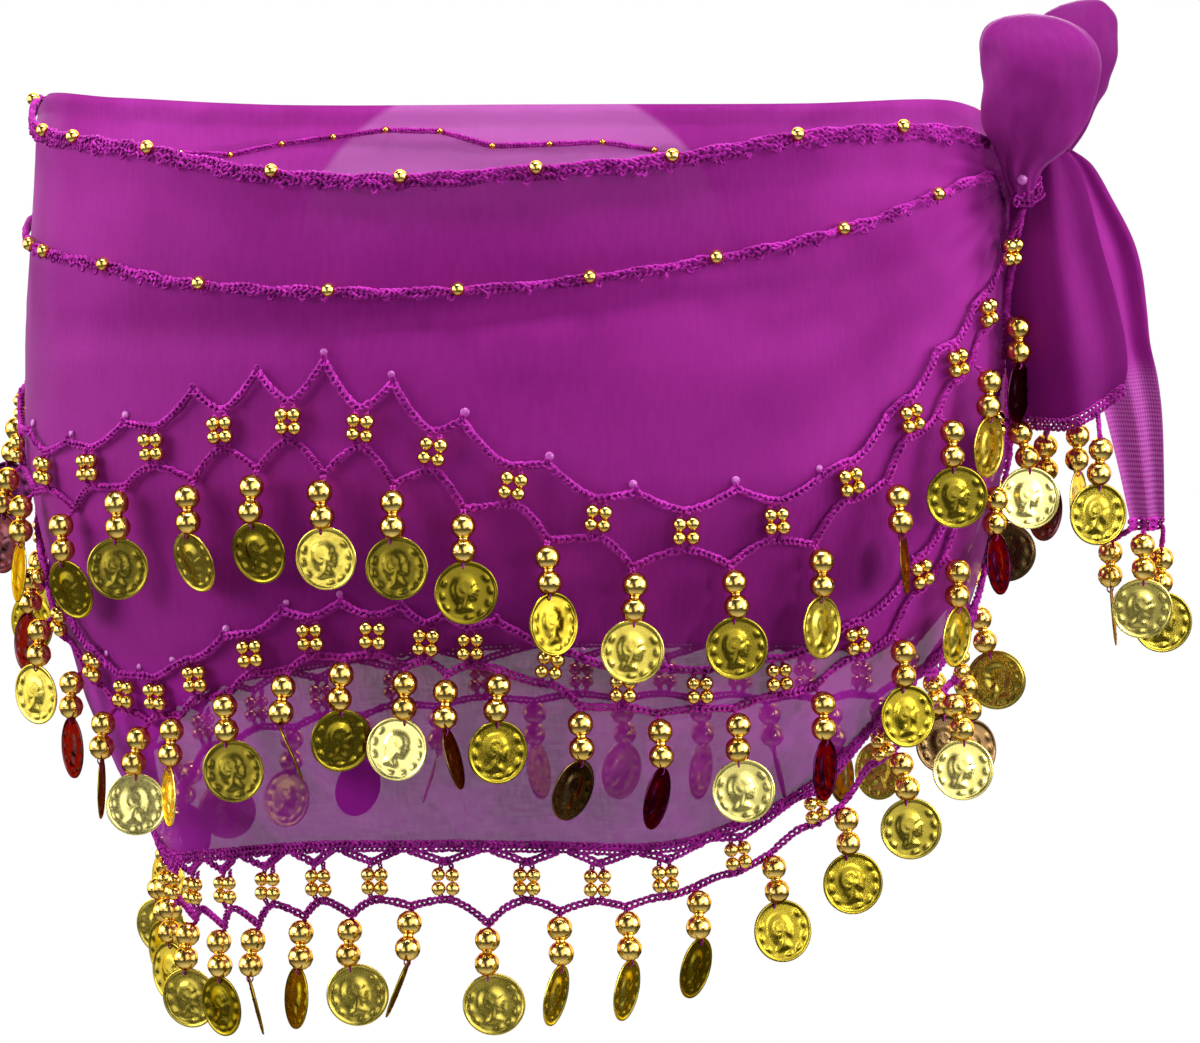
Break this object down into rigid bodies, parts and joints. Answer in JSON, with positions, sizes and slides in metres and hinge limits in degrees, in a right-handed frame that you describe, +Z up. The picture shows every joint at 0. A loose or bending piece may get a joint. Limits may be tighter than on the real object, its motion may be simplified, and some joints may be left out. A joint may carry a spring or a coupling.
{
  "type": "belly dance hip scarf",
  "caption": "Sheer purple hip scarf as worn, tied in a bow over one hip and open inside for the wearer, with beaded crochet braids, net rows and a fringe of gold beads and coins.",
  "frame": {"origin": "middle of the wearer's body at the height of the scarf's upper edge, where the hips hold it", "axes": "+Z up, front towards -Y, the knot over the wearer's left hip towards +X"},
  "size_m": [0.4204, 0.2628, 0.3546],
  "materials": {
    "chiffon": "sheer purple chiffon, matt with a faint sheen, see-through where it is single",
    "crochet": "crocheted purple yarn, matt",
    "gilt": "polished gold coloured beads and stamped coins, hung in purple crochet net"
  },
  "bodies": {
    "root": {"cloth_front": "chiffon", "cloth_back": "chiffon", "knot": "chiffon", "bow_loop_front": "chiffon", "bow_loop_back": "chiffon", "tail_front": "chiffon", "tail_back": "chiffon", "top_edging_front": "crochet", "top_edging_back": "crochet", "band_front": "crochet", "band_back": "crochet", "net_row_1_front": "gilt", "net_row_1_back": "gilt", "net_row_2_front": "gilt", "net_row_2_back": "gilt", "hem_net_front": "gilt", "hem_net_back": "gilt", "tail_front_drops": "gilt", "tail_back_drops": "gilt"}
  },
  "joints": []
}
